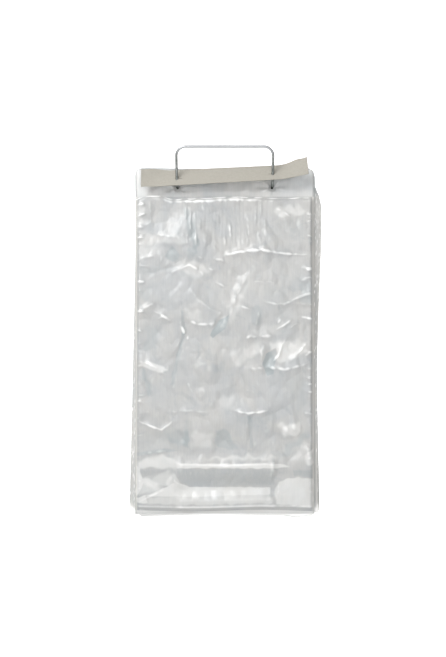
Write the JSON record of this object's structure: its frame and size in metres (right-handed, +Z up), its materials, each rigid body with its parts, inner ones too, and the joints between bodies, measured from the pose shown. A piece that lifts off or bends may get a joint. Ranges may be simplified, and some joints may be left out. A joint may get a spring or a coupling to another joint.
{
  "type": "wicketed bag pack",
  "caption": "Pack of clear film bags hung by their punched lips on a bent wire wicket, with chipboard header cards front and rear and rubber washers behind.",
  "frame": {"origin": "middle of the wicket's straight top bar, on the wire's centre line", "axes": "+X along the top bar to the right, +Y to the rear along the wicket's legs, +Z up"},
  "size_m": [0.3082, 0.0731, 0.5893],
  "materials": {
    "wire": "galvanised, dull",
    "chipboard": "uncoated grey board",
    "washer_rubber": "matte",
    "clear_film": "clear, slightly milky film"
  },
  "bodies": {
    "wicket": {"wicket_wire": "wire"},
    "pack": {"bag_01_lip": "clear_film", "bag_02_lip": "clear_film", "bag_03_lip": "clear_film", "bag_04": "clear_film", "bag_05": "clear_film", "bag_06": "clear_film", "bag_07": "clear_film", "bag_08": "clear_film", "bag_09": "clear_film", "bag_10": "clear_film", "bag_11": "clear_film", "bag_12": "clear_film", "bag_13": "clear_film", "bag_14": "clear_film", "bag_15": "clear_film", "bag_16": "clear_film", "bag_17": "clear_film", "bag_18": "clear_film", "bag_19": "clear_film", "bag_20": "clear_film", "rear_header_card": "chipboard"},
    "bag_03": {"bag_03_pouch": "clear_film"},
    "bag_02": {"bag_02_pouch": "clear_film"},
    "bag_01": {"bag_01_pouch": "clear_film"},
    "front_card": {"front_header_card": "chipboard"},
    "washer_left": {"washer_left": "washer_rubber"},
    "washer_right": {"washer_right": "washer_rubber"}
  },
  "joints": [
    {"name": "pack_swing", "type": "hinge", "parent": "wicket", "child": "pack", "pos_m": [0, 0.04446, -0.0585], "axis": [-1, 0, 0], "range_deg": [-7, 7]},
    {"name": "bag_03_leaf", "type": "hinge", "parent": "pack", "child": "bag_03", "pos_m": [0, 0.04024, -0.0721], "axis": [-1, 0, 0], "range_deg": [0, 20]},
    {"name": "bag_02_leaf", "type": "hinge", "parent": "bag_03", "child": "bag_02", "pos_m": [0, 0.03967, -0.0721], "axis": [-1, 0, 0], "range_deg": [0, 20]},
    {"name": "bag_01_leaf", "type": "hinge", "parent": "bag_02", "child": "bag_01", "pos_m": [0, 0.03911, -0.0721], "axis": [-1, 0, 0], "range_deg": [0, 40]},
    {"name": "front_card_slide", "type": "slide", "parent": "wicket", "child": "front_card", "axis": [0, -0.4226, 0.9063], "range_m": [-0.004, 0.022]},
    {"name": "washer_left_slide", "type": "slide", "parent": "wicket", "child": "washer_left", "axis": [0, 1, 0], "range_m": [0, 0.012]},
    {"name": "washer_right_slide", "type": "slide", "parent": "wicket", "child": "washer_right", "axis": [0, 1, 0], "range_m": [0, 0.012]}
  ]
}
